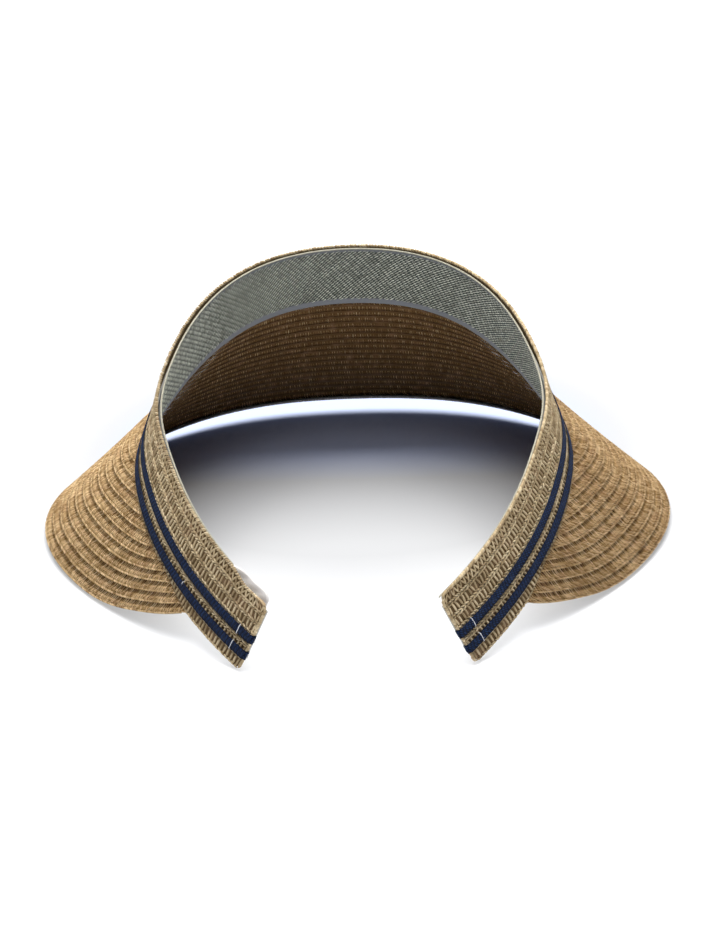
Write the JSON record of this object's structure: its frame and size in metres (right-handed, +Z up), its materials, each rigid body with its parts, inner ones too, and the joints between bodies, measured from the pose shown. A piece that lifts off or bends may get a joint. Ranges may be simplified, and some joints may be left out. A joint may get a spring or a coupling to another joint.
{
  "type": "sun visor",
  "caption": "Open-backed straw braid sun visor: sprung C band with a striped trim and a cloth sweatband, and a wide drooping brim of lapped braid rows.",
  "frame": {"origin": "on the surface that the visor stands on, below the centre of its bounding box", "axes": "+Z up as it stands on its arm tips and brim edge; the brim points to -Y; +X is the wearer's left"},
  "size_m": [0.2654, 0.2454, 0.1053],
  "materials": {
    "paper_straw": "stitched paper straw braid, warm tan, matte",
    "turned_straw": "folded hem of the same braid, greyer and in shade",
    "navy_ribbon": "narrow twill ribbon, navy, matte",
    "sweatband_twill": "grey-green twill tape, matte",
    "cream_binding": "soft rolled cotton edge, cream",
    "hoop_plastic": "translucent white spring strip, hidden",
    "nylon_wire": "straw-coloured monofilament",
    "white_thread": "white sewing thread"
  },
  "bodies": {
    "root": {"brim_row_01": "paper_straw", "brim_row_02": "paper_straw", "brim_row_03": "paper_straw", "brim_row_04": "paper_straw", "brim_row_05": "paper_straw", "brim_row_06": "paper_straw", "brim_row_07": "paper_straw", "brim_row_08": "paper_straw", "brim_row_09": "paper_straw", "brim_row_10": "paper_straw", "brim_row_11": "paper_straw", "brim_row_12": "paper_straw", "brim_row_13": "paper_straw", "brim_row_14": "paper_straw", "brim_row_15": "paper_straw", "brim_row_16": "paper_straw", "brim_row_17": "paper_straw", "brim_row_18": "paper_straw", "brim_edge_turnback": "turned_straw", "brim_edge_wire": "nylon_wire", "front_straw_row_1": "paper_straw", "front_straw_row_2": "paper_straw", "front_straw_row_3": "paper_straw", "front_straw_row_4": "paper_straw", "front_straw_row_5": "paper_straw", "front_straw_row_6": "paper_straw", "front_upper_ribbon": "navy_ribbon", "front_lower_ribbon": "navy_ribbon", "front_spring_hoop": "hoop_plastic", "front_sweatband": "sweatband_twill", "front_binding": "cream_binding"},
    "left_arm": {"left_arm_straw_row_1": "paper_straw", "left_arm_straw_row_2": "paper_straw", "left_arm_straw_row_3": "paper_straw", "left_arm_straw_row_4": "paper_straw", "left_arm_straw_row_5": "paper_straw", "left_arm_straw_row_6": "paper_straw", "left_arm_upper_ribbon": "navy_ribbon", "left_arm_lower_ribbon": "navy_ribbon", "left_arm_spring_hoop": "hoop_plastic", "left_arm_sweatband": "sweatband_twill", "left_arm_binding": "cream_binding", "left_arm_upper_tack": "white_thread", "left_arm_lower_tack": "white_thread"},
    "right_arm": {"right_arm_straw_row_1": "paper_straw", "right_arm_straw_row_2": "paper_straw", "right_arm_straw_row_3": "paper_straw", "right_arm_straw_row_4": "paper_straw", "right_arm_straw_row_5": "paper_straw", "right_arm_straw_row_6": "paper_straw", "right_arm_upper_ribbon": "navy_ribbon", "right_arm_lower_ribbon": "navy_ribbon", "right_arm_spring_hoop": "hoop_plastic", "right_arm_sweatband": "sweatband_twill", "right_arm_binding": "cream_binding", "right_arm_upper_tack": "white_thread", "right_arm_lower_tack": "white_thread"}
  },
  "joints": [
    {"name": "left_arm_flex", "type": "hinge", "parent": "root", "child": "left_arm", "pos_m": [0.05541, 0.10127, 0.02372], "axis": [0.4652, -0.0358, -0.8845], "range_deg": [-6, 20], "stiffness_Nm_per_rad": 0.1},
    {"name": "right_arm_flex", "type": "hinge", "parent": "root", "child": "right_arm", "pos_m": [-0.05541, 0.10127, 0.02372], "axis": [0.4652, 0.0358, 0.8845], "range_deg": [-6, 20], "stiffness_Nm_per_rad": 0.1}
  ]
}
